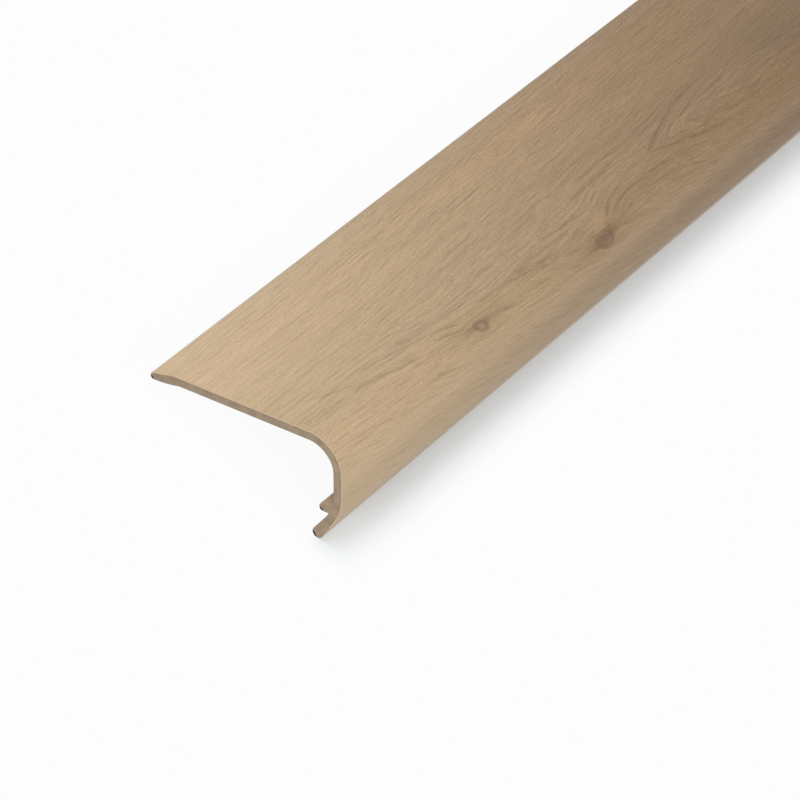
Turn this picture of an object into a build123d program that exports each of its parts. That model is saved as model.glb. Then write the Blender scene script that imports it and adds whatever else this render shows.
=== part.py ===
from build123d import *
import os
from math import acos, asin, atan2, cos, degrees, hypot, radians, sin, sqrt, tan

# Overlapping stair nosing: one extruded length of rigid vinyl with a wood-look face.
# Lengths are in millimetres, angles in degrees. The section is drawn as it sits on a step,
# with x running back from the front face and y up from the top of the plate.

# Driving dimensions
length = 1200.0
width = 56.0
wall = 2.5

nose_radius = 9.6
front_straight = 6.2
foot_radius = 14.5
foot_turn = 37.0
lower_lip_length = 7.4
lower_lip_tip_thickness = 3.0

upper_lip_reach = 4.2
upper_lip_thickness = 2.3
upper_lip_below_front = 5.8
upper_lip_root_radius = 0.5

back_lip_slope = 13.4
back_lip_drop = 0.9
back_lip_tip_radius = 1.0
back_lip_sole_radius = 32.0

# Nose: the plate turns down into the front wall round one centre
nose_inner_radius = nose_radius - wall
nose_centre_y = -nose_radius

# Foot: the front wall turns inwards and runs on as the lower lip
foot_centre = (foot_radius, nose_centre_y - front_straight)
foot_inner_radius = foot_radius - wall
inner_out_x = -cos(radians(foot_turn))
inner_out_y = -sin(radians(foot_turn))
foot_inner_end = (
    foot_centre[0] + foot_inner_radius * inner_out_x,
    foot_centre[1] + foot_inner_radius * inner_out_y,
)

# Lower lip: it thickens a little from the foot to a round tip
lower_tip_radius = lower_lip_tip_thickness / 2
lower_lip_run = lower_lip_length - lower_tip_radius
lower_lip_inner_end = (
    foot_inner_end[0] - lower_lip_run * inner_out_y,
    foot_inner_end[1] + lower_lip_run * inner_out_x,
)
lower_tip_centre = (
    lower_lip_inner_end[0] + lower_tip_radius * inner_out_x,
    lower_lip_inner_end[1] + lower_tip_radius * inner_out_y,
)
lower_lip_end = (
    lower_tip_centre[0] - lower_tip_radius * inner_out_y,
    lower_tip_centre[1] + lower_tip_radius * inner_out_x,
)

# The lip's outer face is the common tangent of the foot's outer arc and the round tip
foot_to_tip_x = lower_tip_centre[0] - foot_centre[0]
foot_to_tip_y = lower_tip_centre[1] - foot_centre[1]
foot_to_tip = hypot(foot_to_tip_x, foot_to_tip_y)
outer_angle = atan2(foot_to_tip_y, foot_to_tip_x) - acos((foot_radius - lower_tip_radius) / foot_to_tip)
foot_outer_end = (
    foot_centre[0] + foot_radius * cos(outer_angle),
    foot_centre[1] + foot_radius * sin(outer_angle),
)
lower_lip_outer_end = (
    lower_tip_centre[0] + lower_tip_radius * cos(outer_angle),
    lower_tip_centre[1] + lower_tip_radius * sin(outer_angle),
)

# Upper lip: a level ledge with a full round tip, which leaves a notch above the lower lip
upper_lip_middle_y = foot_centre[1] - upper_lip_below_front + upper_lip_thickness / 2
upper_lip_top_y = upper_lip_middle_y + upper_lip_thickness / 2
upper_lip_span = upper_lip_reach - upper_lip_thickness / 2

# Back lip: the plate thins, slopes down and ends in a round tip that presses on the floor
back_tip_centre = (width - back_lip_tip_radius, -wall - back_lip_drop + back_lip_tip_radius)
back_tip_top = (
    back_tip_centre[0] + back_lip_tip_radius * sin(radians(back_lip_slope)),
    back_tip_centre[1] + back_lip_tip_radius * cos(radians(back_lip_slope)),
)
back_tip_sole = (back_tip_centre[0], back_tip_centre[1] - back_lip_tip_radius)
back_bend_x = back_tip_top[0] + back_tip_top[1] / tan(radians(back_lip_slope))
back_sole_reach = sqrt(back_lip_sole_radius**2 - (back_lip_sole_radius - back_lip_drop) ** 2)
back_sole_start_x = back_tip_centre[0] - back_sole_reach

# Rest pose: lying unheld it tips back until both lip tips touch the floor
tips_x = back_tip_centre[0] - lower_tip_centre[0]
tips_y = back_tip_centre[1] - lower_tip_centre[1]
tips_apart = hypot(tips_x, tips_y)
rest_tilt = degrees(atan2(tips_y, tips_x) + asin((lower_tip_radius - back_lip_tip_radius) / tips_apart))

# Section, drawn clockwise from the start of the plate behind the nose
with BuildSketch() as section:
    with BuildLine():
        Line((nose_radius, 0), (back_bend_x, 0))
        Line((back_bend_x, 0), back_tip_top)
        ThreePointArc(back_tip_top, (width, back_tip_centre[1]), back_tip_sole)
        RadiusArc(back_tip_sole, (back_sole_start_x, -wall), back_lip_sole_radius)
        Line((back_sole_start_x, -wall), (nose_radius, -wall))
        RadiusArc((nose_radius, -wall), (wall, nose_centre_y), -nose_inner_radius)
        Line((wall, nose_centre_y), (wall, foot_centre[1]))
        RadiusArc((wall, foot_centre[1]), foot_inner_end, -foot_inner_radius)
        Line(foot_inner_end, lower_lip_inner_end)
        ThreePointArc(lower_lip_inner_end, lower_lip_end, lower_lip_outer_end)
        Line(lower_lip_outer_end, foot_outer_end)
        RadiusArc(foot_outer_end, (0, foot_centre[1]), foot_radius)
        Line((0, foot_centre[1]), (0, nose_centre_y))
        RadiusArc((0, nose_centre_y), (nose_radius, 0), nose_radius)
    make_face()
    with Locations((wall + upper_lip_span / 2, upper_lip_middle_y)):
        SlotCenterToCenter(upper_lip_span, upper_lip_thickness)
    lip_root = section.vertices().sort_by_distance((wall, upper_lip_top_y, 0))[0]
    fillet(lip_root, upper_lip_root_radius)

# The resting section is centred over the floor and extruded both ways from mid-length
resting = section.sketch.rotate(Axis.Z, -rest_tilt)
footprint = resting.bounding_box()

with BuildPart() as stair_nosing:
    with BuildSketch(Plane.YZ):
        with Locations((-footprint.center().X, -footprint.min.Y)):
            add(resting)
    extrude(amount=length / 2, both=True)

stair_nosing.part.label = "stair_nosing"
os.makedirs("parts", exist_ok=True)
export_step(stair_nosing.part, "parts/stair_nosing.step")
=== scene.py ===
"""Looks of an overlapping stair nosing: a long vinyl extrusion under a printed light-oak film."""
from math import acos, asin, atan2, cos, pi, radians, sin, tan

import bpy
from mathutils import Matrix, Vector


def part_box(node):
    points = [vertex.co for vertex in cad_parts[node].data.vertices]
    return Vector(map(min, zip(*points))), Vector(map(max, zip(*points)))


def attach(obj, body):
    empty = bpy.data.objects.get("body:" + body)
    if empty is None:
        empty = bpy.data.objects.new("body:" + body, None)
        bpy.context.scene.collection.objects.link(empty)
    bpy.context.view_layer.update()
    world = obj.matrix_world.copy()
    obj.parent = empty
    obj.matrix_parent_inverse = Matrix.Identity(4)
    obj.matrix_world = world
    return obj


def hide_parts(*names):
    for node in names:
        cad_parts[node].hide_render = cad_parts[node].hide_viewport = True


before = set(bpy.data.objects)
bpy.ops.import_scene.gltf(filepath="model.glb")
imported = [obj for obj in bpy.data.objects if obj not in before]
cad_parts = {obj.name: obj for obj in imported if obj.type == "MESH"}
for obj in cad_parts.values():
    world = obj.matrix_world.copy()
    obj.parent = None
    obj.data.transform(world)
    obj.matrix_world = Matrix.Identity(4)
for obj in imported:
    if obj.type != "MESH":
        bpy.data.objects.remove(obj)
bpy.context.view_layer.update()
low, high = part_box("stair_nosing")

# Section in metres, drawn as it sits on a step: x runs back from the front face, y up from the plate
WIDTH = 0.056
WALL = 0.0025
NOSE_RADIUS = 0.0096
FRONT_STRAIGHT = 0.0062
FOOT_RADIUS = 0.0145
FOOT_TURN = radians(37.0)
LOWER_LIP_LENGTH = 0.0074
LOWER_TIP_RADIUS = 0.0015
UPPER_LIP_REACH = 0.0042
UPPER_LIP_THICKNESS = 0.0023
UPPER_LIP_BELOW_FRONT = 0.0058
UPPER_LIP_ROOT_RADIUS = 0.0005
BACK_LIP_SLOPE = radians(13.4)
BACK_LIP_DROP = 0.0009
BACK_TIP_RADIUS = 0.001
BACK_SOLE_RADIUS = 0.032

# Sawn ends: the film and the glue under it show as thin lines round the section
FILM_THICKNESS = 0.0002
GLUE_LINE = 0.0004
SAW_CHAMFER = 0.0001
FILM_ON_LIP = 0.0026
FILM_TRIM = 0.0001
SAW_MARK_ANGLE = radians(65.0)
SAW_MARK_SIZE = (0.00025, 0.006)
SAW_MARK_TONE = 0.24
SAWN_CLOUD_SIZE = (0.003, 0.003)
SAWN_CLOUD_EDGE = (0.25, 0.75)
SAWN_FACING = 0.5
FILMED_SHARE = 0.75
FILMED_EDGE = (0.4, 0.6)
FILM_LINE_EDGE = 0.8
GLUE_LINE_EDGE = 0.7
GLUE_STRENGTH = 0.5

# Black shade painted on the undersides of the lip tips: how fast it fades round them, and where it shows
TIP_SHADE_SPAN = 1.6
TIP_SHADE_SHOWS = (0.2, 0.55)
TIP_SHADE_DEPTH = (0.9, 1.02)

ARC_STEP = radians(2.0)
CREASE_ANGLE = radians(8.0)
WELD_DISTANCE = 1e-6

# Oak figure: places along the piece from its near end, and by girth from the top of the back tip
KNOTS = (
    # along, girth, size across the grain, paleness of its eye, lean of its tails,
    # pull on the grain, reach of the pull before and after
    (0.0627, 0.0531, 0.0013, 0.9, 0.06, 0.0070, 0.048, 0.060),
    (0.1160, 0.0563, 0.0020, 0.2, -0.04, 0.0070, 0.050, 0.018),
    (0.3900, 0.0200, 0.0019, 0.6, 0.10, 0.0050, 0.030, 0.060),
    (0.5350, 0.0470, 0.0014, 0.3, -0.10, 0.0060, 0.060, 0.035),
    (0.7600, 0.0320, 0.0024, 0.5, 0.15, 0.0060, 0.045, 0.045),
    (0.8250, 0.0570, 0.0015, 0.9, -0.15, 0.0050, 0.025, 0.060),
    (1.0600, 0.0150, 0.0020, 0.2, 0.10, 0.0040, 0.060, 0.040),
)
GRAIN_LINES = (
    # single dark lines: start along and girth, end along and girth, bow across the grain, darkness
    # Down to the first knot, and on past it
    (0.000, 0.0434, 0.020, 0.0452, 0.0000, 0.5),
    (0.010, 0.0390, 0.026, 0.0462, 0.0000, 0.5),
    (0.018, 0.0448, 0.060, 0.0527, 0.0006, 0.7),
    (0.000, 0.0496, 0.048, 0.0516, -0.0004, 0.4),
    (0.026, 0.0416, 0.062, 0.0512, -0.0010, 0.5),
    (0.036, 0.0418, 0.076, 0.0478, -0.0005, 0.5),
    (0.046, 0.0478, 0.060, 0.0522, 0.0000, 0.6),
    (0.051, 0.0466, 0.061, 0.0508, 0.0000, 0.5),
    (0.066, 0.0478, 0.082, 0.0499, -0.0003, 0.5),
    (0.067, 0.0530, 0.081, 0.0548, 0.0000, 0.5),
    # Dashes between the knots
    (0.077, 0.0486, 0.089, 0.0502, 0.0000, 0.6),
    (0.082, 0.0482, 0.091, 0.0491, 0.0000, 0.5),
    (0.083, 0.0499, 0.097, 0.0511, 0.0000, 0.6),
    (0.089, 0.0499, 0.102, 0.0511, 0.0000, 0.6),
    (0.090, 0.0516, 0.099, 0.0527, 0.0000, 0.5),
    (0.095, 0.0513, 0.106, 0.0527, 0.0000, 0.4),
    (0.099, 0.0528, 0.111, 0.0552, 0.0000, 0.4),
    # Over the second knot, with a kink, and on past it over a crest
    (0.098, 0.0453, 0.128, 0.0489, -0.0003, 0.9),
    (0.118, 0.0528, 0.128, 0.0480, 0.0000, 0.8),
    (0.119, 0.0508, 0.140, 0.0468, -0.0008, 0.7),
    (0.1215, 0.0526, 0.144, 0.0498, -0.0013, 1.0),
    (0.136, 0.0496, 0.172, 0.0541, -0.0005, 1.0),
    (0.123, 0.0550, 0.143, 0.0524, -0.0008, 0.7),
    (0.136, 0.0526, 0.168, 0.0559, -0.0003, 0.7),
    # Round the arches, and the arches themselves
    (0.118, 0.0421, 0.210, 0.0342, 0.0000, 0.9),
    (0.126, 0.0379, 0.200, 0.0338, 0.0005, 0.7),
    (0.1495, 0.0455, 0.200, 0.0365, -0.0028, 1.9),
    (0.1495, 0.0455, 0.192, 0.0532, 0.0019, 1.6),
    (0.166, 0.0440, 0.205, 0.0370, -0.0012, 0.8),
    (0.168, 0.0472, 0.212, 0.0527, 0.0010, 0.6),
    (0.188, 0.0424, 0.226, 0.0346, -0.0008, 0.8),
    (0.200, 0.0450, 0.240, 0.0356, -0.0010, 0.8),
    (0.204, 0.0478, 0.232, 0.0525, 0.0006, 0.9),
    (0.213, 0.0468, 0.264, 0.0393, -0.0015, 1.1),
    (0.213, 0.0468, 0.262, 0.0542, 0.0013, 1.0),
)
GRAIN_LINE_WIDTH = 0.0003
GRAIN_LINE_START = 0.003
GRAIN_LINE_END = (0.4, 1.0)
GRAIN_LINE_BAND = 3.5
GRAIN_LINE_CORE_SHARE = 0.7
BUNCHES = (
    # fine lines side by side: middle along and girth, slope, reach along and across
    (0.091, 0.0504, 0.10, 0.012, 0.0018),
    (0.052, 0.0495, 0.17, 0.010, 0.0022),
    (0.580, 0.0430, -0.08, 0.020, 0.0025),
    (0.880, 0.0540, 0.06, 0.018, 0.0020),
)
BUNCH_SPACING = 0.0009
BUNCH_STRENGTH = 0.4
BUNCH_EDGE = (-0.3, 1.0)
BUNCH_LEVEL = 0.25
HEART_GIRTH = 0.0455
HEARTS = (
    # where the figure opens at the heart, starts to close again and is closed
    (0.150, 0.340, 0.520),
    (0.640, 0.800, 1.000),
)
HEART_WIDTH = 0.0084
HEART_RUN = 0.022
ARCH_SHARE = 0.7
ARCH_ROUNDING = 0.09
RING_SPACING = 0.0026
RING_START = 0.73
RING_WAVER = 0.6
LATE_WOOD_RISE = (0.5, 0.88)
LATE_WOOD_FALL = (0.9, 1.0)
TINY = 1e-9

# How far fibres spread from the heart on the front and on the plate, as a share of their run, and where
FRONT_SPREAD = 0.21
FRONT_SPREAD_GIRTH = (0.050, 0.062)
PLATE_SPREAD = 0.06
PLATE_SPREAD_GIRTH = (0.034, 0.042)
PLATE_SPREAD_ALONG = (0.02, 0.06)
SPREAD_RUN = 0.024

# Pull of a knot on the fibres, and the flush of colour where they come to it
FUNNEL_MOUTH = 0.001
FUNNEL_REACH = 0.014
PARTING = 0.6
PARTING_LENGTH = 2.4
PARTING_WIDTH = 2.0
FLUSH_RISE = 0.002
FLUSH_WIDTH = 0.005

# Marks of a knot: lengths in sizes of its eye, strengths, and what a pale eye changes
KNOT_TILT = 0.25
KNOT_RAGGED = 1.2
PALE_SMOOTHER = 0.65
EYE_LENGTH = 1.28
PALE_LONGER = 0.35
EYE_EDGE = (0.66, 1.87)
PALE_CRISPER = (0.3, -0.45)
EYE_STRENGTH = 1.1
PALE_WEAKER = 0.25
HOLE_EDGE = (0.3, 0.75)
HOLE_STRENGTH = 0.75
SOFT_SIDE = (-1.7, 0.2)
SOFT_SIDE_LEAN = 0.4
SOFT_SIDE_STRENGTH = 0.6
SWIRL_TURNS = 6.5
SWIRL_ALONG = 1.3
SWIRL_ACROSS = 0.8
SWIRL_RAGGED = 2.0
SWIRL_DEPTH = 0.25
SWIRL_LEVEL = 0.85
TAIL_RISE = 0.35
TAIL_RAGGED = 0.4
TAIL_LENGTH = 2.4
TAIL_WIDTH = 0.75
TAIL_START = (0.6, 1.4)
TAIL_STRENGTH = 1.1
PALE_TAIL_WEAKER = 0.5
HALO_LENGTH = 4.5
HALO_WIDTH = 2.2
HALO_STRENGTH = 0.25
CREAM_SPOTS = (
    # pale spots over the eye: place along and across, half-width along and across, strength
    (-0.3, 1.35, 0.8, 0.4, 1.0),
    (0.6, 2.2, 1.6, 0.9, 0.3),
)

# Grain: patches by their length along the piece and width across it in metres, their depths and edges
SWAY_SIZE = (0.16, 0.05)
SWAY_DEPTH = 0.003
RIPPLE_SIZE = (0.022, 0.005)
RIPPLE_DEPTH = 0.0013
KNOT_EDGE_SIZE = (0.0025, 0.0016)
RING_WAVER_SIZE = (0.03, 0.004)
RAGGED_END_SIZE = (0.03, 0.001)
THREAD_SIZE = (0.0050, 0.0006)
THREAD_SHADOW = 0.0005
THREAD_SHADOW_SHARE = 0.6
THREAD_LEVEL = 0.2
TOOTH_SIZE = (0.0008, 0.00045)
PORE_SIZE = (0.0065, 0.0012)
PORE_EDGE = (0.40, 0.62)
PORE_ROW_SPACING = 0.0015
PORE_ROW_SIZE = (0.03, 0.003)
PORE_ROW_WAVER = 1.5
PORE_ROW_EDGE = (0.3, 1.0)
CONTOUR_SIZE = (0.045, 0.0026)
CONTOUR_WIDTH = 0.035
CONTOUR_PALE_SIDE = 0.07
CONTOUR_PALE_SHARE = 0.6
VEIN_SIZE = (0.050, 0.0010)
VEIN_EDGE = (0.55, 0.7)
WISP_SIZE = (0.05, 0.0022)
BAND_SIZE = (0.25, 0.006)
WIGGLE_SIZE = (0.008, 0.006)
WIGGLE_DEPTH = 0.0013
DASH_SIZE = (0.004, 0.0007)
DASH_EDGE = (0.3, 0.65)
DASH_DEPTH = 0.7
DASH_LEVEL = 0.5
BUNCH_WAVER_SIZE = (0.010, 0.004)
BUNCH_WAVER = 2.0
SIDE_SPAN = 0.004
DIE_LINE_SIZE = (0.8, 0.0007)
DIE_LINE_TONE = 0.16
SKIN_CLOUD_SIZE = (0.05, 0.01)
FILM_RELIEF = 0.00004
TOOTH_RELIEF_SHARE = 0.4
PORE_RELIEF_SHARE = 0.4
CONTOUR_RELIEF_SHARE = 0.3
CORE_RELIEF = 0.00003
SAW_RELIEF = 0.00004

# Broad tone of the film, with painted light and shade in it: the deepening along the piece and the dusk are
# partly the oak's tone and partly painted shade, and the foot's shade and the front's light are painted
TONE_PERIOD = 0.5
TONE_START = 0.03
FAR_TONE_ALONG = (0.28, 0.42)
FAR_TONE_LOSS = 0.45
HEART_TONE_GIRTH = 0.045
HEART_TONE_WIDTH = 0.011
HEART_SHADE = 0.07
PLATE_SHADE_GIRTH = (0.008, 0.032)
PLATE_SHADE = 0.09
PAINTED_FOOT_SHADE_GIRTH = (0.062, 0.069)
PAINTED_FOOT_SHADE = 0.10
PAINTED_FRONT_LIGHT_GIRTH = 0.0595
PAINTED_FRONT_LIGHT_WIDTH = 0.004
PAINTED_FRONT_LIGHT_ALONG = (0.09, 0.13)
PAINTED_FRONT_LIGHT = 0.03
PAINTED_FRONT_LIGHT_PAST_KNOT = 0.07
BACK_GLOW_ALONG = 0.14
BACK_GLOW_LENGTH = 0.028
BACK_GLOW_GIRTH = (0.018, 0.030)
BACK_GLOW = 0.06
DUSK_COMES = (0.18, 0.225)
DUSK_GOES = (0.27, 0.55)
DUSK_GIRTH = 0.040
DUSK_WIDTH = 0.010
DUSK = 0.075
DUSK_AT_HEART = 0.12
FRONT_CONTRAST_GIRTH = (0.054, 0.061)
FRONT_CONTRAST_LOSS = 0.25
FAR_FIGURE_ALONG = (0.22, 0.30)

# Weight of each part of the grain in the film's colour
CONTRAST_LEVEL = 0.87
CONTRAST_DEEP = 0.8
CONTRAST_HEART = 0.2
GRAIN_LEVEL = 1.025
THREAD_TONE = 0.27
TOOTH_TONE = 0.29
CONTOUR_TONE = 0.05
WISP_TONE = 0.06
BAND_TONE = 0.12
CREAM_TONE = 0.30
CREAM_CLEARS = 0.8
PORE_DARK = 0.18
LATE_DARK = 0.03
LATE_DARK_HEART = 0.05
LATE_DARK_FAR = 0.10
VEIN_DARK = 0.05
VEIN_DARK_DEEP = 0.04
VEIN_DARK_HEART = 0.05
VEIN_DARK_FLUSH = 0.06
FLUSH_DARK = 0.05
TAIL_DARK = 0.75
LINE_DARK = 0.60
EYE_DARK = 0.70

# How rough the surfaces are, and what pores, die lines and saw marks add
FILM_ROUGHNESS = 0.5
SKIN_ROUGHNESS = 0.4
SAWN_ROUGHNESS = 0.6
PORE_ROUGHNESS = 0.12
MARK_ROUGHNESS = 0.2

# Camera of the photograph, in the frame of the section: the pixel that sees one point of the near end
IMAGE_SIZE = 800
FOCAL_PIXELS = 4152
SENSOR_WIDTH = 36.0
CAMERA_ELEVATION = radians(35.1)
CAMERA_BEARING = radians(34.8)
CAMERA_DEPTH = 0.9674
AIM_PIXEL = (340.5, 470.5)
AIM_POINT = (0.00037, -0.00755)
CLIP_START = 0.01
CLIP_END = 100.0

# Stage: shares are of the light that shows a white surface as white
ROOM_SHARE = 0.62
SUN_SHARE = 0.235
FRONT_SHARE = 0.41
SIDE_SHARE = 0.20
FLOOR_REACH = 20.0
SHADOW_START = -0.001
SHADOW_REACH = 0.014
# Painted light on the floor: white over the shadow under the hollow, and the shadow made paler far along
# and at the near end
HOLLOW_WHITE = 0.96
FRONT_LIGHT_REACH = 0.25
FAR_PALENESS = 0.17
END_FADE = 3.0
END_LIGHT_REACH = 0.03
END_PALENESS = 0.22
HOLLOW_START = (0.0005, 0.003)
SHOWN_WHITE = 0.98
SUN_ANGLE = radians(30.0)
SUN_FROM = (-0.2, 0.55, 0.85)
FRONT_FROM = (-0.35, -0.30, 0.40)
SIDE_FROM = (-0.50, 0.28, 0.33)
SOFTBOX_SIZE = 0.4


def polar(centre, radius, angle):
    """The point of a circle at that angle."""
    return Vector((centre[0] + radius * cos(angle), centre[1] + radius * sin(angle)))


def arc(centre, radius, start, end):
    """Points along a circle from one angle to another, both ends included."""
    steps = max(2, round(abs(end - start) / ARC_STEP))
    return [polar(centre, radius, start + (end - start) * i / steps) for i in range(steps + 1)]


# Centres that the section turns round
nose_centre = Vector((NOSE_RADIUS, -NOSE_RADIUS))
foot_centre = Vector((FOOT_RADIUS, -NOSE_RADIUS - FRONT_STRAIGHT))
foot_inner_radius = FOOT_RADIUS - WALL
foot_inner_angle = pi + FOOT_TURN
foot_inner_end = polar(foot_centre, foot_inner_radius, foot_inner_angle)
lower_lip_run = Vector((sin(FOOT_TURN), -cos(FOOT_TURN))) * (LOWER_LIP_LENGTH - LOWER_TIP_RADIUS)
lower_tip_centre = polar(foot_inner_end + lower_lip_run, LOWER_TIP_RADIUS, foot_inner_angle)
foot_to_tip = lower_tip_centre - foot_centre
lip_taper = acos((FOOT_RADIUS - LOWER_TIP_RADIUS) / foot_to_tip.length)
foot_outer_angle = atan2(foot_to_tip.y, foot_to_tip.x) - lip_taper + 2 * pi
upper_tip_centre = Vector(
    (
        WALL + UPPER_LIP_REACH - UPPER_LIP_THICKNESS / 2,
        foot_centre.y - UPPER_LIP_BELOW_FRONT + UPPER_LIP_THICKNESS / 2,
    )
)
back_tip_centre = Vector((WIDTH - BACK_TIP_RADIUS, BACK_TIP_RADIUS - WALL - BACK_LIP_DROP))
back_tip_top = polar(back_tip_centre, BACK_TIP_RADIUS, pi / 2 - BACK_LIP_SLOPE)
back_bend = Vector((back_tip_top.x + back_tip_top.y / tan(BACK_LIP_SLOPE), 0.0))
back_sole_centre = back_tip_centre + Vector((0.0, BACK_SOLE_RADIUS - BACK_TIP_RADIUS))
back_sole_turn = acos((BACK_SOLE_RADIUS - BACK_LIP_DROP) / BACK_SOLE_RADIUS)

# It lies tipped back, on the tips of its back lip and its lower lip
tips = back_tip_centre - lower_tip_centre
rest_tilt = atan2(tips.y, tips.x) + asin((LOWER_TIP_RADIUS - BACK_TIP_RADIUS) / tips.length)

# The film folds a little way round the back tip, and ends on the outside of the lower lip
FILM_START = -pi / 4
foot_outer_end = polar(foot_centre, FOOT_RADIUS, foot_outer_angle)
lower_lip_outer_end = polar(lower_tip_centre, LOWER_TIP_RADIUS, foot_outer_angle)
lip_downwards = (lower_lip_outer_end - foot_outer_end).normalized()


def film_run():
    """The outline under the film: back tip, plate, nose, front, foot and the start of the lower lip."""
    points = arc(back_tip_centre, BACK_TIP_RADIUS, FILM_START, pi / 2 - BACK_LIP_SLOPE)
    points.append(back_bend)
    points += arc(nose_centre, NOSE_RADIUS, pi / 2, pi)
    points += arc(foot_centre, FOOT_RADIUS, pi, foot_outer_angle)
    points.append(foot_outer_end + lip_downwards * FILM_ON_LIP)
    return points


def bare_run():
    """The outline without film: the lower lip, upper lip, hollow and sole of the back lip."""
    notch_turn = asin(UPPER_LIP_BELOW_FRONT / foot_inner_radius)
    root_y = upper_tip_centre.y + UPPER_LIP_THICKNESS / 2 + UPPER_LIP_ROOT_RADIUS
    root_reach = foot_inner_radius - UPPER_LIP_ROOT_RADIUS
    root_turn = asin((foot_centre.y - root_y) / root_reach)
    root_centre = polar(foot_centre, root_reach, pi + root_turn)
    points = [foot_outer_end + lip_downwards * (FILM_ON_LIP + FILM_TRIM)]
    points += arc(lower_tip_centre, LOWER_TIP_RADIUS, foot_outer_angle, foot_inner_angle + pi)
    points += arc(foot_centre, foot_inner_radius, foot_inner_angle, pi + notch_turn)
    points += arc(upper_tip_centre, UPPER_LIP_THICKNESS / 2, -pi / 2, pi / 2)
    points += arc(root_centre, UPPER_LIP_ROOT_RADIUS, 1.5 * pi, pi + root_turn)
    points += arc(foot_centre, foot_inner_radius, pi + root_turn, pi)[1:]
    points += arc(nose_centre, NOSE_RADIUS - WALL, pi, pi / 2)
    points += arc(back_sole_centre, BACK_SOLE_RADIUS, -pi / 2 - back_sole_turn, -pi / 2)
    points += arc(back_tip_centre, BACK_TIP_RADIUS, -pi / 2, FILM_START)[1:-1]
    return points


def outward_at(points, i):
    """The unit vector that points out of the closed outline at one of its points."""
    before = points[i] - points[i - 1]
    after = points[(i + 1) % len(points)] - points[i]
    across = before.normalized() + after.normalized()
    return Vector((across.y, -across.x, 0.0)).normalized()


def painted_tip_shade(point):
    """How much black shade is painted on the sawn edge at a point of the outline: the undersides of the
    three lip tips get it.
    """
    tip_shade = 0.0
    # centre and radius of each tip, the angle where its painted shade is darkest, and how much
    shaded_tips = (
        (back_tip_centre, BACK_TIP_RADIUS, -45.0, 1.0),
        (upper_tip_centre, UPPER_LIP_THICKNESS / 2, -45.0, 0.8),
        (lower_tip_centre, LOWER_TIP_RADIUS, -30.0, 1.2),
    )
    for centre, radius, degrees, strength in shaded_tips:
        spoke = point - centre
        if abs(spoke.length - radius) < WELD_DISTANCE:
            turn = atan2(spoke.y, spoke.x) - radians(degrees)
            tip_shade = max(tip_shade, strength * cos(TIP_SHADE_SPAN * turn))
    return tip_shade


def outline_mesh(film, bare, core):
    """The section as a closed loop of edges that carries its outward direction, girth, film and painted tip
    shade.
    """
    points = film + bare
    count = len(points)
    mesh = bpy.data.meshes.new("section_outline")
    mesh.from_pydata([(p.x, p.y, 0.0) for p in points], [((i + 1) % count, i) for i in range(count)], [])
    mesh.materials.append(core)
    girth = [-BACK_TIP_RADIUS * (pi / 2 - BACK_LIP_SLOPE - FILM_START)]
    for i in range(1, count):
        girth.append(girth[-1] + (points[i] - points[i - 1]).length)
    outward = mesh.attributes.new("outward", "FLOAT_VECTOR", "POINT")
    for i in range(count):
        outward.data[i].vector = outward_at(points, i)
    mesh.attributes.new("girth", "FLOAT", "POINT").data.foreach_set("value", girth)
    filmed = [1.0] * len(film) + [0.0] * len(bare)
    mesh.attributes.new("film", "FLOAT", "POINT").data.foreach_set("value", filmed)
    tip_shade = [painted_tip_shade(p) for p in points]
    mesh.attributes.new("tip_shade", "FLOAT", "POINT").data.foreach_set("value", tip_shade)
    return mesh


def add_node(tree, kind, sockets=None, **settings):
    """Adds a node to a tree, sets its options and feeds its sockets, given by name or number."""
    node = tree.nodes.new(kind)
    for name, value in settings.items():
        setattr(node, name, value)
    for key, value in (sockets or {}).items():
        value = getattr(value, "socket", value)
        if isinstance(value, bpy.types.NodeSocket):
            tree.links.new(value, node.inputs[key])
        else:
            node.inputs[key].default_value = value
    return node


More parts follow.
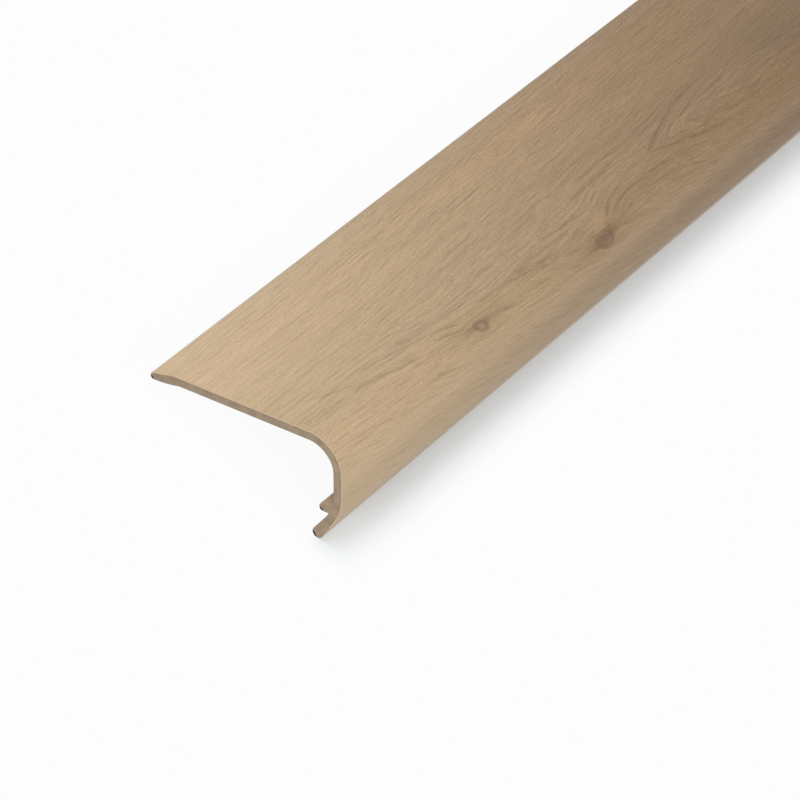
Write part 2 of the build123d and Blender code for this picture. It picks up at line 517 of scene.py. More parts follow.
def extrusion_tree():
    """Sweeps the section outline to a sawn length, with the lines of the film and the glue on its ends."""
    tree = bpy.data.node_groups.new("sawn_extrusion", "GeometryNodeTree")
    face = tree.interface
    face.new_socket("Outline", in_out="INPUT", socket_type="NodeSocketGeometry")
    for name in ("Length", "Saw Chamfer", "Film Thickness", "Glue Line", "Rest Tilt", "Crease Angle"):
        face.new_socket(name, in_out="INPUT", socket_type="NodeSocketFloat")
    face.new_socket("Seat", in_out="INPUT", socket_type="NodeSocketVector")
    for name in ("Film", "Bare Core", "Sawn Core"):
        face.new_socket(name, in_out="INPUT", socket_type="NodeSocketMaterial")
    face.new_socket("Piece", in_out="OUTPUT", socket_type="NodeSocketGeometry")
    given = add_node(tree, "NodeGroupInput").outputs

    def number(operation, first, second):
        return add_node(tree, "ShaderNodeMath", {0: first, 1: second}, operation=operation).outputs[0]

    def attribute(name, kind):
        node = add_node(tree, "GeometryNodeInputNamedAttribute", {"Name": name}, data_type=kind)
        return node.outputs["Attribute"]

    def inset(distance, rise):
        """The move that takes a point of the outline inwards, and up along the sweep."""
        outward = attribute("outward", "FLOAT_VECTOR")
        back = number("MULTIPLY", distance, -1.0)
        inwards = add_node(tree, "ShaderNodeVectorMath", {0: outward, "Scale": back}, operation="SCALE")
        lift = add_node(tree, "ShaderNodeCombineXYZ", {"Z": rise})
        sockets = {0: inwards.outputs[0], 1: lift.outputs[0]}
        return add_node(tree, "ShaderNodeVectorMath", sockets).outputs[0]

    def store(geometry, name, value, selection=True):
        sockets = {"Geometry": geometry, "Selection": selection, "Name": name, "Value": value}
        return add_node(tree, "GeometryNodeStoreNamedAttribute", sockets, data_type="FLOAT").outputs[0]

    half = number("MULTIPLY", given["Length"], 0.5)
    wall_end = number("SUBTRACT", half, given["Saw Chamfer"])
    upwards = add_node(tree, "ShaderNodeCombineXYZ", {"Z": 1.0}).outputs[0]
    sockets = {"Mesh": given["Outline"], "Offset": upwards, "Offset Scale": wall_end}
    wall = add_node(tree, "GeometryNodeExtrudeMesh", sockets, mode="EDGES")
    geometry = store(wall.outputs["Mesh"], "depth", 0.0)
    rim = wall.outputs["Top"]

    # Rings on the sawn end, each further in than the last
    depth = 0.0
    rings = (
        (given["Saw Chamfer"], given["Saw Chamfer"]),
        (given["Film Thickness"], 0.0),
        (given["Glue Line"], 0.0),
    )
    for step, rise in rings:
        sockets = {"Mesh": geometry, "Selection": rim, "Offset Scale": 0.0}
        ring = add_node(tree, "GeometryNodeExtrudeMesh", sockets, mode="EDGES")
        rim = ring.outputs["Top"]
        sockets = {"Geometry": ring.outputs["Mesh"], "Selection": rim, "Offset": inset(step, rise)}
        moved = add_node(tree, "GeometryNodeSetPosition", sockets).outputs[0]
        depth = number("ADD", depth, step)
        geometry = store(moved, "depth", depth, rim)

    # The core inside the rings
    sockets = {"Geometry": given["Outline"], "Offset": inset(depth, half)}
    core_edge = add_node(tree, "GeometryNodeSetPosition", sockets).outputs[0]
    core_curve = add_node(tree, "GeometryNodeMeshToCurve", {"Mesh": core_edge}).outputs[0]
    core = add_node(tree, "GeometryNodeFillCurve", {"Curve": core_curve}).outputs[0]
    lift = add_node(tree, "ShaderNodeCombineXYZ", {"Z": half}).outputs[0]
    core = add_node(tree, "GeometryNodeTransform", {"Geometry": core, "Translation": lift}).outputs[0]
    core = store(core, "depth", depth)
    sockets = {"Geometry": core, "Material": given["Bare Core"]}
    core = add_node(tree, "GeometryNodeSetMaterial", sockets).outputs[0]
    end = add_node(tree, "GeometryNodeJoinGeometry")
    tree.links.new(geometry, end.inputs[0])
    tree.links.new(core, end.inputs[0])

    # The other half is this one mirrored at mid-length
    sockets = {"Geometry": end.outputs[0], "Scale": (1.0, 1.0, -1.0)}
    mirrored = add_node(tree, "GeometryNodeTransform", sockets).outputs[0]
    turned = add_node(tree, "GeometryNodeFlipFaces", {"Mesh": mirrored}).outputs[0]
    both = add_node(tree, "GeometryNodeJoinGeometry")
    tree.links.new(end.outputs[0], both.inputs[0])
    tree.links.new(turned, both.inputs[0])
    sockets = {"Geometry": both.outputs[0], "Distance": WELD_DISTANCE}
    welded = add_node(tree, "GeometryNodeMergeByDistance", sockets).outputs[0]

    # Round runs are shaded smooth, and creases stay sharp
    angle = add_node(tree, "GeometryNodeInputMeshEdgeAngle").outputs["Unsigned Angle"]
    crease = add_node(tree, "FunctionNodeCompare", {0: angle, 1: given["Crease Angle"]}).outputs[0]
    sockets = {"Geometry": welded, "Shade Smooth": True}
    smooth = add_node(tree, "GeometryNodeSetShadeSmooth", sockets).outputs[0]
    sockets = {"Geometry": smooth, "Selection": crease, "Shade Smooth": False}
    shaded = add_node(tree, "GeometryNodeSetShadeSmooth", sockets, domain="EDGE").outputs[0]

    # Which faces are sawn and which carry the film
    normal = add_node(tree, "GeometryNodeInputNormal").outputs[0]
    along = add_node(tree, "ShaderNodeSeparateXYZ", {0: normal}).outputs["Z"]
    across = number("ABSOLUTE", along, 0.0)
    sawn = add_node(tree, "FunctionNodeCompare", {0: across, 1: SAWN_FACING}).outputs[0]
    sockets = {0: attribute("film", "FLOAT"), 1: FILMED_SHARE}
    filmed = add_node(tree, "FunctionNodeCompare", sockets).outputs[0]
    sockets = {"Geometry": shaded, "Name": "sawn", "Value": sawn}
    marked = add_node(
        tree, "GeometryNodeStoreNamedAttribute", sockets, data_type="BOOLEAN", domain="FACE"
    ).outputs[0]

    # From the drawn section to the piece as it lies, with its length along x
    tilt = number("MULTIPLY", given["Rest Tilt"], -1.0)
    turn = add_node(tree, "ShaderNodeCombineXYZ", {"Z": tilt}).outputs[0]
    sockets = {"Geometry": marked, "Translation": given["Seat"], "Rotation": turn}
    tipped = add_node(tree, "GeometryNodeTransform", sockets).outputs[0]
    sockets = {"Geometry": tipped, "Rotation": (pi / 2, 0.0, pi / 2)}
    laid = add_node(tree, "GeometryNodeTransform", sockets).outputs[0]

    piece = add_node(tree, "GeometryNodeRealizeInstances", {"Geometry": laid}).outputs[0]
    saw_marked = attribute("sawn", "BOOLEAN")
    for selection, material in ((True, "Bare Core"), (filmed, "Film"), (saw_marked, "Sawn Core")):
        sockets = {"Geometry": piece, "Selection": selection, "Material": given[material]}
        piece = add_node(tree, "GeometryNodeSetMaterial", sockets).outputs[0]
    add_node(tree, "NodeGroupOutput", {0: piece})
    return tree


def tipped(point):
    """Where a point of the drawn section goes when the piece lies on its tips, before it is seated."""
    return Vector(
        (
            point.x * cos(rest_tilt) + point.y * sin(rest_tilt),
            point.y * cos(rest_tilt) - point.x * sin(rest_tilt),
        )
    )


film_points = film_run()
bare_points = bare_run()
resting = [tipped(p) for p in film_points + bare_points]
front = min(p.x for p in resting)
back = max(p.x for p in resting)
seat = Vector(((low.y + high.y - front - back) / 2, low.z - min(p.y for p in resting), 0.0))


def stair_nosing(film, bare_core, sawn_core):
    """The piece as a plain mesh, from the swept section."""
    holder = bpy.data.objects.new("section_outline", outline_mesh(film_points, bare_points, bare_core))
    bpy.context.scene.collection.objects.link(holder)
    tree = extrusion_tree()
    sweep = holder.modifiers.new("sawn_extrusion", "NODES")
    sweep.node_group = tree
    values = {
        "Length": high.x - low.x,
        "Saw Chamfer": SAW_CHAMFER,
        "Film Thickness": FILM_THICKNESS,
        "Glue Line": GLUE_LINE,
        "Rest Tilt": rest_tilt,
        "Crease Angle": CREASE_ANGLE,
        "Seat": seat,
        "Film": film,
        "Bare Core": bare_core,
        "Sawn Core": sawn_core,
    }
    for socket in tree.interface.items_tree:
        if socket.name in values:
            sweep[socket.identifier] = values[socket.name]
    depsgraph = bpy.context.evaluated_depsgraph_get()
    mesh = bpy.data.meshes.new_from_object(
        holder.evaluated_get(depsgraph), preserve_all_data_layers=True, depsgraph=depsgraph
    )
    bpy.data.objects.remove(holder)
    piece = bpy.data.objects.new("oak_stair_nosing", mesh)
    bpy.context.scene.collection.objects.link(piece)
    return piece


class Field:
    """A number that varies over a surface, kept as the output of a chain of math nodes."""

    def __init__(self, tree, socket):
        self.tree = tree
        self.socket = socket

    def math(self, operation, *others):
        """This field and the others put through one math node."""
        sockets = dict(enumerate((self, *others)))
        node = add_node(self.tree, "ShaderNodeMath", sockets, operation=operation)
        return Field(self.tree, node.outputs[0])

    def __add__(self, other):
        return self.math("ADD", other)

    def __sub__(self, other):
        return self.math("SUBTRACT", other)

    def __mul__(self, other):
        return self.math("MULTIPLY", other)

    def __truediv__(self, other):
        return self.math("DIVIDE", other)

    def less_than_one(self):
        """What is left when this is taken from one."""
        return self * -1.0 + 1.0

    def square(self):
        return self * self

    def bell(self, width):
        """A bell round zero of about that half-width."""
        spread = (self / width).square() * -1.0
        return spread.math("EXPONENT")

    def step(self, start, end):
        """A smooth rise from 0 at start to 1 at end."""
        sockets = {"Value": self, "From Min": start, "From Max": end}
        node = add_node(self.tree, "ShaderNodeMapRange", sockets, interpolation_type="SMOOTHSTEP")
        return Field(self.tree, node.outputs[0])


class Finish:
    """A material under construction."""

    def __init__(self, name):
        self.material = bpy.data.materials.new(name)
        self.material.use_nodes = True
        self.tree = self.material.node_tree
        self.shader = self.tree.nodes["Principled BSDF"]
        place = add_node(self.tree, "ShaderNodeTexCoord").outputs["Object"]
        parts = add_node(self.tree, "ShaderNodeSeparateXYZ", {0: place}).outputs
        self.place = [Field(self.tree, socket) for socket in parts]

    def attribute(self, name):
        """A number that the mesh carries at its points."""
        node = add_node(self.tree, "ShaderNodeAttribute", attribute_name=name)
        return Field(self.tree, node.outputs["Fac"])

    def noise(self, x, y, seed, detail=0.0):
        """Smooth noise from 0 to 1 with features of about one unit of x and y."""
        sockets = {"X": x, "Y": y, "Z": seed}
        vector = add_node(self.tree, "ShaderNodeCombineXYZ", sockets).outputs[0]
        sockets = {"Vector": vector, "Scale": 1.0, "Detail": detail}
        return Field(self.tree, add_node(self.tree, "ShaderNodeTexNoise", sockets).outputs["Fac"])

    def patches(self, along, across, size, seed, detail=0.0):
        """Noise in patches of that length along the piece and width across it, in metres."""
        length, width = size
        return self.noise(along / length, across / width, seed, detail)

    def stamp(self, group, *values):
        """One use of a group of nodes: the fields that it gives."""
        node = add_node(self.tree, "ShaderNodeGroup", dict(enumerate(values)), node_tree=group)
        return [Field(self.tree, socket) for socket in node.outputs]

    def mix(self, amount, first, second):
        """A blend of two colours."""
        sockets = {0: amount, 6: first, 7: second}
        return add_node(self.tree, "ShaderNodeMix", sockets, data_type="RGBA").outputs[2]

    def scale(self, colour, amount):
        """A colour made lighter or darker."""
        sockets = {0: colour, "Scale": amount}
        return add_node(self.tree, "ShaderNodeVectorMath", sockets, operation="SCALE").outputs[0]

    def paint(self, socket, value):
        """Feeds one of the shader's sockets."""
        self.tree.links.new(getattr(value, "socket", value), self.shader.inputs[socket])

    def relief(self, height, depth):
        """Fine relief of that depth in metres."""
        sockets = {"Height": height, "Distance": depth}
        bump = add_node(self.tree, "ShaderNodeBump", sockets)
        self.tree.links.new(bump.outputs[0], self.shader.inputs["Normal"])

    def constant(self, **values):
        """Sets sockets of the shader that are the same all over."""
        for name, value in values.items():
            self.shader.inputs[name.replace("_", " ")].default_value = value


def new_group(name, inputs, outputs):
    """An empty group of shader nodes with those numbers in and out, and its inputs as fields."""
    tree = bpy.data.node_groups.new(name, "ShaderNodeTree")
    for socket in inputs:
        tree.interface.new_socket(socket, in_out="INPUT", socket_type="NodeSocketFloat")
    for socket in outputs:
        tree.interface.new_socket(socket, in_out="OUTPUT", socket_type="NodeSocketFloat")
    given = add_node(tree, "NodeGroupInput").outputs
    return tree, [Field(tree, given[socket]) for socket in inputs]


def opaque(red, green, blue):
    """A linear colour with full alpha."""
    return (red, green, blue, 1.0)


# Oak colours, mixed by how deep the film is along the piece, which is partly painted shade
OAK_PALE = opaque(0.637, 0.472, 0.294)
OAK_DEEP = opaque(0.366, 0.238, 0.130)
GRAIN_BROWN = opaque(0.24, 0.150, 0.080)
KNOT_BROWN = opaque(0.15, 0.092, 0.060)
SKIN_BUFF = opaque(0.52, 0.40, 0.275)
SKIN_GREY = opaque(0.47, 0.365, 0.255)
CORE_BUFF = opaque(0.330, 0.246, 0.163)
CORE_GREY = opaque(0.250, 0.189, 0.128)
FILM_EDGE = opaque(0.50, 0.372, 0.236)
GLUE_BROWN = opaque(0.20, 0.150, 0.098)
# Black of the shade painted under the lip tips on the sawn end
TIP_SHADE_BLACK = opaque(0.012, 0.010, 0.008)
WARM_WHITE = (1.0, 0.95, 0.87)
PLAIN_WHITE = (1.0, 1.0, 1.0)
FLOOR_GREY = opaque(0.850, 0.900, 0.955)


def knot_group():
    """A knot: its draw on the fibres, flush of colour, dark tails, the pale spots above it, and its eye."""
    inputs = ("Along", "Girth", "Ragged", "Knot Along", "Knot Girth", "Size", "Paleness", "Lean", "Pull",
              "Before", "After")
    outputs = ("Draw", "Flush", "Tails", "Cream", "Eye")
    tree, fields = new_group("knot", inputs, outputs)
    along, girth, ragged, knot_along, knot_girth, size, pale, lean, pull, before, after = fields
    dark = pale.less_than_one()
    ahead = along - knot_along
    above = knot_girth - girth
    rise = above / size
    reach_along = ahead / (size * (pale * PALE_LONGER + EYE_LENGTH))
    reach_across = (ahead * KNOT_TILT + above) / size
    reach = (reach_along.square() + reach_across.square()).math("SQRT")
    reach = reach + ragged * (pale * -PALE_SMOOTHER + 1.0)

    # Fibres come down to it from the plate's side and part round its eye
    drawn = ahead.step(before * -1.0, 0.0) * ahead.step(0.0, after).less_than_one()
    over = above.math("MAXIMUM", 0.0)
    funnel = over / (over + FUNNEL_MOUTH) * above.bell(FUNNEL_REACH)
    parting = above * reach_along.bell(PARTING_LENGTH) * reach_across.bell(PARTING_WIDTH) * PARTING
    draw = parting - funnel * drawn * pull
    flush = drawn * (above - FLUSH_RISE).bell(FLUSH_WIDTH)

    # Dark tails lie along the grain, in a soft halo
    tail = (ahead * lean + above) / size + ragged * TAIL_RAGGED - TAIL_RISE
    tails = reach_along.bell(TAIL_LENGTH) * tail.bell(TAIL_WIDTH) * reach.step(*TAIL_START)
    tails = tails * (pale * -PALE_TAIL_WEAKER + TAIL_STRENGTH)
    tails = tails + reach_along.bell(HALO_LENGTH) * tail.bell(HALO_WIDTH) * HALO_STRENGTH

    # Pale wood shows over a dark eye
    cream = girth * 0.0
    for spot_along, spot_across, length, width, strength in CREAM_SPOTS:
        spot = (reach_along - spot_along).bell(length) * (rise - spot_across).bell(width)
        cream = cream + spot * dark * strength

    # The eye: a rim, fine turns inside it, a hole if it is pale, a soft lower side if it is dark
    hole = (reach.step(*HOLE_EDGE) - 1.0) * pale * HOLE_STRENGTH + 1.0
    swirl = reach * SWIRL_TURNS + reach_along * SWIRL_ALONG - reach_across * SWIRL_ACROSS
    swirl = (swirl + ragged * SWIRL_RAGGED).math("SINE") * (dark * SWIRL_DEPTH) + SWIRL_LEVEL
    edge = [pale * crisper + start for crisper, start in zip(PALE_CRISPER, EYE_EDGE)]
    rim = reach.step(*edge).less_than_one()
    upper_side = (reach_across - reach_along * SOFT_SIDE_LEAN).step(*SOFT_SIDE)
    soft_side = upper_side.less_than_one() * dark * SOFT_SIDE_STRENGTH
    eye = hole * swirl * rim * soft_side.less_than_one() * (pale * -PALE_WEAKER + EYE_STRENGTH)
    add_node(tree, "NodeGroupOutput", dict(enumerate((draw, flush, tails, cream, eye))))
    return tree


def grain_line_group():
    """A dark line of the figure: a fine core in a soft band, which fades at both ends."""
    inputs = ("Along", "Girth", "Start Along", "Start Girth", "End Along", "End Girth", "Bow", "Darkness")
    tree, fields = new_group("grain_line", inputs, ("Stroke",))
    along, girth, start_along, start_girth, end_along, end_girth, bow, darkness = fields
    run = ((along - start_along) / (end_along - start_along)).math("MAXIMUM", 0.0).math("MINIMUM", 1.0)
    # The bow is a parabola: four times run times the rest of it is one half-way
    course = run * (end_girth - start_girth) + run * run.less_than_one() * bow * 4.0 + start_girth
    fade = (along - start_along).step(0.0, GRAIN_LINE_START) * run.step(*GRAIN_LINE_END).less_than_one()
    beside = girth - course
    core = beside.bell(GRAIN_LINE_WIDTH) * GRAIN_LINE_CORE_SHARE
    band = beside.bell(GRAIN_LINE_WIDTH * GRAIN_LINE_BAND) * (1.0 - GRAIN_LINE_CORE_SHARE)
    add_node(tree, "NodeGroupOutput", {0: (core + band) * fade * darkness})
    return tree


def knot_marks(film, along, girth):
    """The draw on the fibres, flush, tails, pale spots and eyes of all the knots."""
    knot = knot_group()
    ragged = (film.patches(along, girth, KNOT_EDGE_SIZE, seed=9.0, detail=2.0) - 0.5) * KNOT_RAGGED
    sums = [girth * 0.0] * 5
    for place in KNOTS:
        marks = film.stamp(knot, along, girth, ragged, *place)
        sums = [total + mark for total, mark in zip(sums, marks)]
    return sums


def heart_figure(along, girth, offset):
    """Fibres by their distance from the heart: round the wedges that open there, in arches inside them."""
    wedge = girth * 0.0
    for opens, closes, closed in HEARTS:
        opening = ((along - opens).math("MAXIMUM", 0.0) / HEART_RUN).math("TANH")
        wedge = wedge + opening * along.step(closes, closed).less_than_one() * HEART_WIDTH
    beyond = offset.square() - wedge.square()
    rounding = beyond.math("ABSOLUTE") + wedge.square() * ARCH_ROUNDING + TINY
    ringed = beyond / rounding.math("SQRT")
    return offset.math("ABSOLUTE") * (1.0 - ARCH_SHARE) + ringed * ARCH_SHARE


def spread_fibres(film, along, girth, fibre, side):
    """Fibres that spread from the heart as they run, in short stretches that keep their spacing."""
    spread = girth.step(*FRONT_SPREAD_GIRTH) * FRONT_SPREAD
    on_plate = girth.step(*PLATE_SPREAD_GIRTH).less_than_one() * along.step(*PLATE_SPREAD_ALONG)
    spread = spread + on_plate * PLATE_SPREAD
    from_joint = along - (along / SPREAD_RUN).math("ROUND") * SPREAD_RUN
    ragged_end = film.patches(along, fibre - spread * from_joint, RAGGED_END_SIZE, seed=side + 15.0) - 0.5
    stretch = (along / SPREAD_RUN + ragged_end).math("FLOOR") + 0.5
    return fibre - spread * (along - stretch * SPREAD_RUN)


def figure_lines(film, along, girth, fibre):
    """Lines that stand out: towards the knots, round them, and the arches past them."""
    grain_line = grain_line_group()
    wiggle = (film.patches(along, girth, WIGGLE_SIZE, seed=12.0, detail=2.0) - 0.5) * WIGGLE_DEPTH
    dash = film.patches(along, fibre, DASH_SIZE, seed=14.0).step(*DASH_EDGE) * DASH_DEPTH + DASH_LEVEL
    lines = girth * 0.0
    for course in GRAIN_LINES:
        lines = lines + film.stamp(grain_line, along, girth + wiggle, *course)[0]
    lines = lines * dash
    waver = film.patches(along, girth, BUNCH_WAVER_SIZE, seed=16.0) * BUNCH_WAVER
    for middle_along, middle_girth, slope, reach_along, reach_across in BUNCHES:
        ahead = along - middle_along
        below = girth - middle_girth - ahead * slope
        stripe = ((below / BUNCH_SPACING + waver) * (2 * pi)).math("SINE")
        stripe = stripe.step(*BUNCH_EDGE) * dash - BUNCH_LEVEL
        lines = lines + stripe * ahead.bell(reach_along) * below.bell(reach_across) * BUNCH_STRENGTH
    return lines


def broad_shade(along, girth, heart):
    """How light the film is over broad areas: deeper over the heart, with a pale patch on the plate, a dusk
    that is partly painted shade, painted shade on the foot and painted light on the front.
    """
    shade = (girth.step(*PLATE_SHADE_GIRTH) * -PLATE_SHADE + 1.0) * (heart * -HEART_SHADE + 1.0)
    # Painted shade: the film darker on the foot, where the wall turns down towards the floor
    shade = shade * (girth.step(*PAINTED_FOOT_SHADE_GIRTH) * -PAINTED_FOOT_SHADE + 1.0)
    # Painted light: the film lighter where the nose turns into the front, more so past the second knot
    painted_front_light = along.step(*PAINTED_FRONT_LIGHT_ALONG) * PAINTED_FRONT_LIGHT_PAST_KNOT + PAINTED_FRONT_LIGHT
    shade = shade * ((girth - PAINTED_FRONT_LIGHT_GIRTH).bell(PAINTED_FRONT_LIGHT_WIDTH) * painted_front_light + 1.0)
    at_back = girth.step(*BACK_GLOW_GIRTH).less_than_one()
    back_glow = (along - BACK_GLOW_ALONG).bell(BACK_GLOW_LENGTH) * at_back
    shade = shade * (back_glow * BACK_GLOW + 1.0)
    # A dusk from 0.18 m on, most over the heart: partly the oak's tone, partly painted shade of the light
    # falling off along the piece
    dusk = along.step(*DUSK_COMES) * along.step(*DUSK_GOES).less_than_one()
    dusk = dusk * ((girth - DUSK_GIRTH).bell(DUSK_WIDTH) * DUSK_AT_HEART + DUSK)
    return shade * dusk.less_than_one()


def oak_film():
    """The printed film: oak with two knots and a cathedral figure in sight, fine pores all over."""
    film = Finish("oak_film")
    along = film.place[0] - low.x
    girth = film.attribute("girth")

    # The course of the fibres, with a noise of its own on each side of the heart
    fibre = girth + (film.patches(along, girth, SWAY_SIZE, seed=1.0) - 0.5) * SWAY_DEPTH
    fibre = fibre + (film.patches(along, girth, RIPPLE_SIZE, seed=11.0) - 0.5) * RIPPLE_DEPTH
    draw, flush, tails, cream, eye = knot_marks(film, along, girth)
    offset = fibre + draw - HEART_GIRTH
    side = offset / SIDE_SPAN
    fibre = heart_figure(along, girth, offset)

    # Growth rings
    waver = (film.patches(along, fibre, RING_WAVER_SIZE, seed=side + 2.0, detail=1.0) - 0.5) * RING_WAVER
    phase = (fibre / RING_SPACING + waver + RING_START).math("FRACT")
    late = phase.step(*LATE_WOOD_RISE) * phase.step(*LATE_WOOD_FALL).less_than_one()

    # Fine grain: embossed threads with a lit and a shaded side, which are painted into the colour as well
    # as raised, rows of pores
    fibre = spread_fibres(film, along, girth, fibre, side)
    shadow = fibre + offset.math("SIGN") * THREAD_SHADOW
    shadow = film.patches(along, shadow, THREAD_SIZE, seed=side + 4.0, detail=1.0) * THREAD_SHADOW_SHARE
    thread = film.patches(along, fibre, THREAD_SIZE, seed=side + 4.0, detail=1.0) - THREAD_LEVEL - shadow
    tooth = film.patches(along, girth, TOOTH_SIZE, seed=10.0) - 0.5
    row = film.patches(along, fibre, PORE_ROW_SIZE, seed=side + 3.0) * PORE_ROW_WAVER
    row = ((row + fibre / PORE_ROW_SPACING) * (2 * pi)).math("SINE").step(*PORE_ROW_EDGE)
    pore = row * film.patches(along, fibre, PORE_SIZE, seed=side + 5.0).step(*PORE_EDGE)

    # Long grain: thin contours with a pale line beside each, dark veins, pale and deep bands
    contour = film.patches(along, fibre, CONTOUR_SIZE, seed=side * 0.3 + 13.0, detail=1.0) - 0.5
    pale_side = (contour - CONTOUR_PALE_SIDE).bell(CONTOUR_WIDTH) * CONTOUR_PALE_SHARE
    contour = contour.bell(CONTOUR_WIDTH) - pale_side
    vein = film.patches(along, fibre, VEIN_SIZE, seed=side * 0.5 + 7.0).step(*VEIN_EDGE)
    wisp = film.patches(along, fibre, WISP_SIZE, seed=side * 0.3 + 8.0) - 0.5
    band = film.patches(along, girth, BAND_SIZE, seed=6.0, detail=2.0) - 0.5
    lines = figure_lines(film, along, girth, fibre)

    # Colour: paler at the near end and deeper further on, partly the oak's tone and partly painted shade of
    # the light falling off along the piece, with stronger grain where it is deep and over the heart
    wave = ((along + TONE_START) * (2 * pi / TONE_PERIOD)).math("COSINE") * -0.5 + 0.5
    drift = wave * (along.step(*FAR_TONE_ALONG) * -FAR_TONE_LOSS + 1.0)
    heart = (girth - HEART_TONE_GIRTH).bell(HEART_TONE_WIDTH)
    contrast = drift * CONTRAST_DEEP + heart * CONTRAST_HEART + CONTRAST_LEVEL
    contrast = contrast * (girth.step(*FRONT_CONTRAST_GIRTH) * -FRONT_CONTRAST_LOSS + 1.0)
    grain = (thread * THREAD_TONE + tooth * TOOTH_TONE - contour * CONTOUR_TONE) * contrast
    grain = grain + wisp * WISP_TONE + band * (drift + 1.0) * BAND_TONE + cream * CREAM_TONE + GRAIN_LEVEL
    colour = film.mix(drift, OAK_PALE, OAK_DEEP)
    colour = film.scale(colour, broad_shade(along, girth, heart) * grain)
    figured = along.step(*FAR_FIGURE_ALONG) * LATE_DARK_FAR + heart * LATE_DARK_HEART + LATE_DARK
    veined = flush * VEIN_DARK_FLUSH + heart * VEIN_DARK_HEART + drift * VEIN_DARK_DEEP + VEIN_DARK
    dark = pore * contrast * PORE_DARK + vein * veined + late * figured
    dark = dark + flush * FLUSH_DARK + tails * TAIL_DARK + lines * LINE_DARK
    dark = dark * (cream * CREAM_CLEARS).math("MINIMUM", 1.0).less_than_one()
    colour = film.mix(dark, colour, GRAIN_BROWN)
    colour = film.mix(eye * EYE_DARK, colour, KNOT_BROWN)
    film.paint("Base Color", colour)
    film.paint("Roughness", pore * PORE_ROUGHNESS + FILM_ROUGHNESS)
    height = thread + tooth * TOOTH_RELIEF_SHARE - pore * PORE_RELIEF_SHARE - contour * CONTOUR_RELIEF_SHARE
    film.relief(height, FILM_RELIEF)
    film.constant(Specular_IOR_Level=0.3)
    return film.material


def bare_core():
    """The extruded vinyl inside, with faint lines that the die leaves along it."""
    core = Finish("bare_core")
    along = core.place[0] - low.x
    girth = core.attribute("girth")
    die = core.patches(along, girth, DIE_LINE_SIZE, seed=1.0, detail=2.0)
    cloud = core.patches(along, girth, SKIN_CLOUD_SIZE, seed=2.0, detail=2.0)
    colour = core.mix(cloud, SKIN_GREY, SKIN_BUFF)
    core.paint("Base Color", core.scale(colour, die * DIE_LINE_TONE + (1.0 - DIE_LINE_TONE / 2)))
    core.paint("Roughness", die * MARK_ROUGHNESS + SKIN_ROUGHNESS)
    core.relief(die, CORE_RELIEF)
    core.constant(Specular_IOR_Level=0.4)
    return core.material


def sawn_core():
    """The sawn end: film and glue as thin lines round a core with fine saw marks."""
    core = Finish("sawn_core")
    across = core.place[1]
    up = core.place[2]
    depth = core.attribute("depth")
    filmed = core.attribute("film").step(*FILMED_EDGE)
    core_depth = SAW_CHAMFER + FILM_THICKNESS + GLUE_LINE
    mark_along = across * cos(SAW_MARK_ANGLE) + up * sin(SAW_MARK_ANGLE)
    mark_across = up * cos(SAW_MARK_ANGLE) - across * sin(SAW_MARK_ANGLE)
    saw = core.patches(mark_across, mark_along, SAW_MARK_SIZE, seed=1.0, detail=2.0)
    cloud = core.patches(across, up, SAWN_CLOUD_SIZE, seed=2.0, detail=2.0).step(*SAWN_CLOUD_EDGE)
    colour = core.mix(cloud, CORE_GREY, CORE_BUFF)
    colour = core.scale(colour, saw * SAW_MARK_TONE + (1.0 - SAW_MARK_TONE / 2))
    inside = depth.step(SAW_CHAMFER + FILM_THICKNESS * FILM_LINE_EDGE, SAW_CHAMFER + FILM_THICKNESS)
    glue = inside * depth.step(core_depth * GLUE_LINE_EDGE, core_depth).less_than_one() * filmed
    colour = core.mix(glue * GLUE_STRENGTH, colour, GLUE_BROWN)
    colour = core.mix(inside.less_than_one() * filmed, colour, FILM_EDGE)
    # Painted shade: black on the sawn end under the three lip tips
    shaded_from, shaded_to = [core_depth * share for share in TIP_SHADE_DEPTH]
    tip_shade = core.attribute("tip_shade").step(*TIP_SHADE_SHOWS) * depth.step(shaded_from, shaded_to).less_than_one()
    colour = core.mix(tip_shade, colour, TIP_SHADE_BLACK)
    core.paint("Base Color", colour)
    core.paint("Roughness", saw * MARK_ROUGHNESS + SAWN_ROUGHNESS)
    core.relief(saw, SAW_RELIEF)
    core.constant(Specular_IOR_Level=0.3)
    return core.material


def seen_directly(tree):
    """Whether a ray comes from the camera, straight or by way of a reflection or something clear."""
    rays = add_node(tree, "ShaderNodeLightPath").outputs
    seen = Field(tree, rays["Is Camera Ray"])
    for kind in ("Is Glossy Ray", "Is Transmission Ray"):
        seen = seen.math("MAXIMUM", Field(tree, rays[kind]))
    return seen


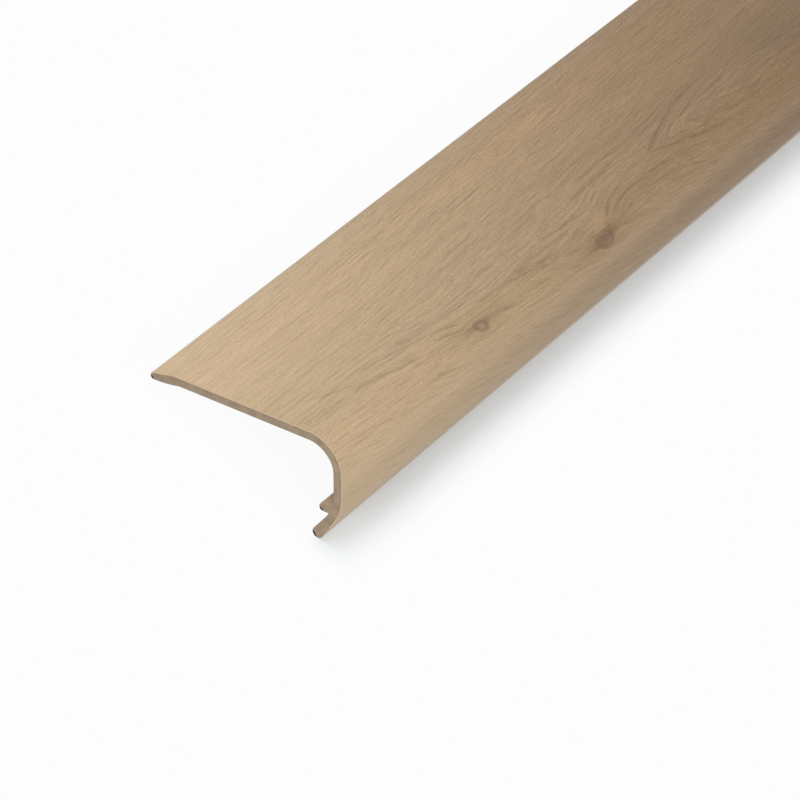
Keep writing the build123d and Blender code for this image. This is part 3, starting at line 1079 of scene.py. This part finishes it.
def pale_floor():
    """A white floor that takes the shadow close to the piece, and shows plain white further off; white is
    painted over the shadow under the hollow, and the shadow is painted paler far along and at the near end.
    """
    floor_white = bpy.data.materials.new("pale_floor")
    floor_white.use_nodes = True
    tree = floor_white.node_tree
    tree.nodes.clear()
    place = add_node(tree, "ShaderNodeTexCoord").outputs["Object"]
    x, y = [Field(tree, s) for s in add_node(tree, "ShaderNodeSeparateXYZ", {0: place}).outputs[:2]]
    past_end = (x.math("ABSOLUTE") - high.x).math("MAXIMUM", 0.0) * END_FADE
    past_side = (y.math("ABSOLUTE") - high.y).math("MAXIMUM", 0.0)
    away = (past_end.square() + past_side.square()).math("SQRT")
    clear = away.step(SHADOW_START, SHADOW_REACH)
    # Painted light: white over the shadow under the hollow, and the shadow paler far along the piece and at
    # its near end
    under = (y - low.y).step(*HOLLOW_START) * HOLLOW_WHITE
    pale = (x - low.x).step(0.0, FRONT_LIGHT_REACH) * FAR_PALENESS
    pale = pale + (x - low.x).step(0.0, END_LIGHT_REACH).less_than_one() * END_PALENESS
    shaded = clear.less_than_one() * under.less_than_one() * pale.less_than_one()
    seen = seen_directly(tree)
    matte = add_node(tree, "ShaderNodeBsdfDiffuse", {"Color": FLOOR_GREY}).outputs[0]
    white = add_node(tree, "ShaderNodeEmission", {"Strength": SHOWN_WHITE}).outputs[0]
    sockets = {0: shaded.less_than_one() * seen, 1: matte, 2: white}
    shown = add_node(tree, "ShaderNodeMixShader", sockets).outputs[0]
    add_node(tree, "ShaderNodeOutputMaterial", {"Surface": shown})
    mesh = bpy.data.meshes.new("pale_floor")
    mesh.from_pydata(
        [(-FLOOR_REACH, -FLOOR_REACH, 0.0), (FLOOR_REACH, -FLOOR_REACH, 0.0),
         (FLOOR_REACH, FLOOR_REACH, 0.0), (-FLOOR_REACH, FLOOR_REACH, 0.0)],
        [],
        [(0, 1, 2, 3)],
    )
    mesh.materials.append(floor_white)
    floor = bpy.data.objects.new("pale_floor", mesh)
    bpy.context.scene.collection.objects.link(floor)


def softbox(name, offset, share, colour):
    """A round softbox aimed at the near end, which adds that share of white there."""
    light = bpy.data.lights.new(name, "AREA")
    light.shape = "DISK"
    light.color = colour
    light.size = SOFTBOX_SIZE
    light.energy = share * pi**2 * offset.length_squared
    lamp = bpy.data.objects.new(name, light)
    lamp.location = Vector((low.x, 0.0, 0.0)) + offset
    lamp.rotation_euler = offset.to_track_quat("Z", "Y").to_euler()
    bpy.context.scene.collection.objects.link(lamp)


def studio_light():
    """White surroundings, a soft sun from behind, and softboxes at the near end."""
    world = bpy.data.worlds.new("white_room")
    bpy.context.scene.world = world
    world.use_nodes = True
    tree = world.node_tree
    tree.nodes.clear()
    seen = seen_directly(tree)
    fill = add_node(tree, "ShaderNodeBackground", {"Strength": ROOM_SHARE}).outputs[0]
    white = add_node(tree, "ShaderNodeBackground", {"Strength": SHOWN_WHITE}).outputs[0]
    both = add_node(tree, "ShaderNodeMixShader", {0: seen, 1: fill, 2: white}).outputs[0]
    add_node(tree, "ShaderNodeOutputWorld", {"Surface": both})

    sun = bpy.data.lights.new("soft_sun", "SUN")
    sun.energy = SUN_SHARE * pi
    sun.angle = SUN_ANGLE
    lamp = bpy.data.objects.new("soft_sun", sun)
    lamp.rotation_euler = Vector(SUN_FROM).to_track_quat("Z", "Y").to_euler()
    bpy.context.scene.collection.objects.link(lamp)

    softbox("front_softbox", Vector(FRONT_FROM), FRONT_SHARE, WARM_WHITE)
    softbox("side_softbox", Vector(SIDE_FROM), SIDE_SHARE, PLAIN_WHITE)


def photo_camera():
    """The camera that sees the near end as the photograph does."""
    level_right = Vector((sin(CAMERA_BEARING), -cos(CAMERA_BEARING), 0.0))
    level_view = Vector((cos(CAMERA_BEARING), sin(CAMERA_BEARING), 0.0))
    view = level_view * cos(CAMERA_ELEVATION) - Vector((0.0, 0.0, sin(CAMERA_ELEVATION)))
    up = level_view * sin(CAMERA_ELEVATION) + Vector((0.0, 0.0, cos(CAMERA_ELEVATION)))
    tilt = Matrix.Rotation(-rest_tilt, 3, "X")
    right, up, view = tilt @ level_right, tilt @ up, tilt @ view
    aim = tilt @ Vector((low.x, *AIM_POINT)) + Vector((0.0, seat.x, seat.y))
    shift_x = (AIM_PIXEL[0] - IMAGE_SIZE / 2) / FOCAL_PIXELS
    shift_y = (IMAGE_SIZE / 2 - AIM_PIXEL[1]) / FOCAL_PIXELS
    data = bpy.data.cameras.new("photo_camera")
    data.sensor_width = SENSOR_WIDTH
    data.lens = SENSOR_WIDTH * FOCAL_PIXELS / IMAGE_SIZE
    data.clip_start = CLIP_START
    data.clip_end = CLIP_END
    camera = bpy.data.objects.new("photo_camera", data)
    turn = Matrix((right, up, -view)).transposed().to_4x4()
    place = aim - (view + right * shift_x + up * shift_y) * CAMERA_DEPTH
    camera.matrix_world = Matrix.Translation(place) @ turn
    bpy.context.scene.collection.objects.link(camera)
    bpy.context.scene.camera = camera


bpy.context.scene.view_settings.view_transform = "Standard"
nosing = stair_nosing(oak_film(), bare_core(), sawn_core())
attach(nosing, "root")
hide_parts("stair_nosing")
pale_floor()
studio_light()
photo_camera()
